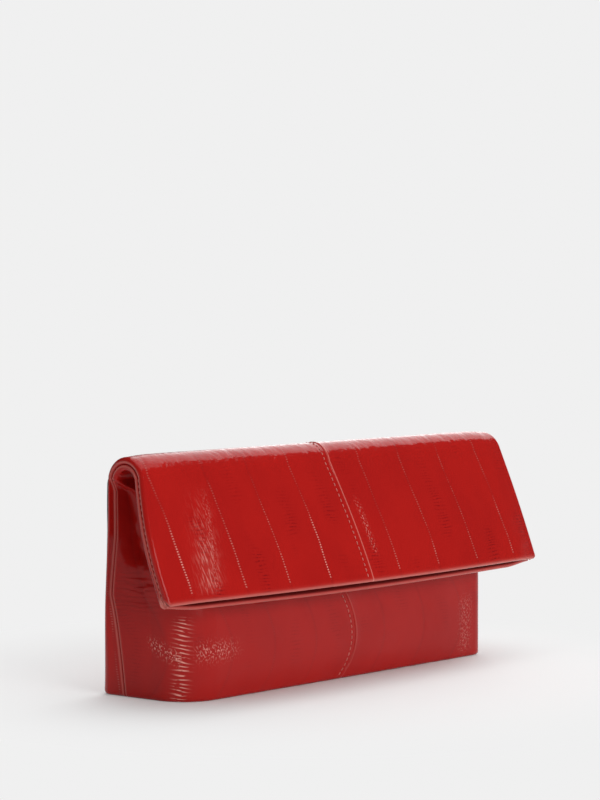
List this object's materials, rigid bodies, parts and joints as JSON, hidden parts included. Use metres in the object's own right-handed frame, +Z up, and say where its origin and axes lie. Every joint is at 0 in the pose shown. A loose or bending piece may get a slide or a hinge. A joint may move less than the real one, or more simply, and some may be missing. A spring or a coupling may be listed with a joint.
{
  "type": "fold-over clutch purse",
  "caption": "Soft fold-over clutch purse in glossy red leather with a boxed bottom; the upper part rolls forward and the wide mouth hangs as the flap.",
  "frame": {"origin": "middle of the flat base, on the surface that the purse stands on", "axes": "+X along the width, to the right as seen from the front; -Y is the front, where the flap hangs; +Z is up"},
  "size_m": [0.3106, 0.0834, 0.1327],
  "materials": {
    "eel_leather": "high gloss, patent-like eel leather",
    "facing_leather": "semi-gloss",
    "lining_fabric": "woven twill",
    "interlining": "non-woven",
    "base_board": "bonded leather board",
    "magnet_steel": "nickel-plated",
    "thread": "waxed thread"
  },
  "bodies": {
    "pouch": {"base_panel": "eel_leather", "base_board": "base_board", "base_lining": "lining_fabric", "back_panel_left": "eel_leather", "back_panel_right": "eel_leather", "back_interlining": "interlining", "back_lining": "lining_fabric", "front_panel_left": "eel_leather", "front_panel_right": "eel_leather", "front_interlining": "interlining", "front_lining": "lining_fabric", "slip_pocket": "lining_fabric", "pocket_binding": "facing_leather", "back_stitching": "thread", "front_stitching": "thread"},
    "fold": {"fold_outer_left": "eel_leather", "fold_outer_right": "eel_leather", "fold_outer_lining": "lining_fabric", "fold_inner_left": "eel_leather", "fold_inner_right": "eel_leather", "fold_inner_lining": "lining_fabric"},
    "flap": {"flap_crest_left": "eel_leather", "flap_crest_right": "eel_leather", "flap_crest_lining": "lining_fabric", "flap_inner_left": "eel_leather", "flap_inner_right": "eel_leather", "flap_inner_lining": "lining_fabric", "inner_facing": "facing_leather", "inner_magnet": "magnet_steel", "flap_inner_stitching": "thread"},
    "lip": {"lip_panel_left": "eel_leather", "lip_panel_right": "eel_leather", "lip_lining": "lining_fabric", "outer_facing": "facing_leather", "outer_magnet": "magnet_steel", "lip_stitching": "thread"}
  },
  "joints": [
    {"name": "fold_back", "type": "hinge", "parent": "pouch", "child": "fold", "pos_m": [0, -0.00495, 0.12955], "axis": [-1, 0, 0], "range_deg": [0, 72.5]},
    {"name": "fold_front", "type": "hinge", "parent": "fold", "child": "flap", "pos_m": [0, -0.02149, 0.1304], "axis": [-1, 0, 0], "range_deg": [0, 72.5]},
    {"name": "mouth_open", "type": "hinge", "parent": "flap", "child": "lip", "pos_m": [0, -0.02692, 0.12359], "axis": [-1, 0, 0], "range_deg": [0, 28]}
  ],
  "couplings": [
    {"joint": "fold_front", "follows": "fold_back", "ratio": 1}
  ]
}
